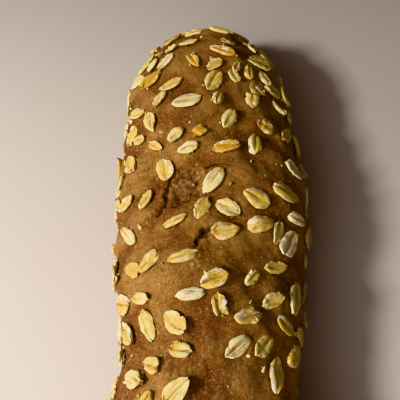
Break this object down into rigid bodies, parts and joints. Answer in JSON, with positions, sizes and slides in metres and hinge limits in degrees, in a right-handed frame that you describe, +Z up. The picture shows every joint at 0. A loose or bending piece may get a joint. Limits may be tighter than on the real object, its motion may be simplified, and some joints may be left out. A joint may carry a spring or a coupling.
{
  "type": "oat bread",
  "caption": "Long rounded roll of brown bread with rolled oat flakes baked onto its crust, resting on a flat sole.",
  "frame": {"origin": "on the surface that the roll rests on, under the middle of its bounding box", "axes": "+Y along the roll towards its fuller end, +Z up, +X across the roll"},
  "size_m": [0.0789, 0.2794, 0.0496],
  "materials": {
    "crust": "dull brown baked crust, slightly rough",
    "oats": "pale golden rolled oat flakes, dull with a faint sheen"
  },
  "bodies": {
    "root": {"loaf": "crust"}
  },
  "joints": []
}
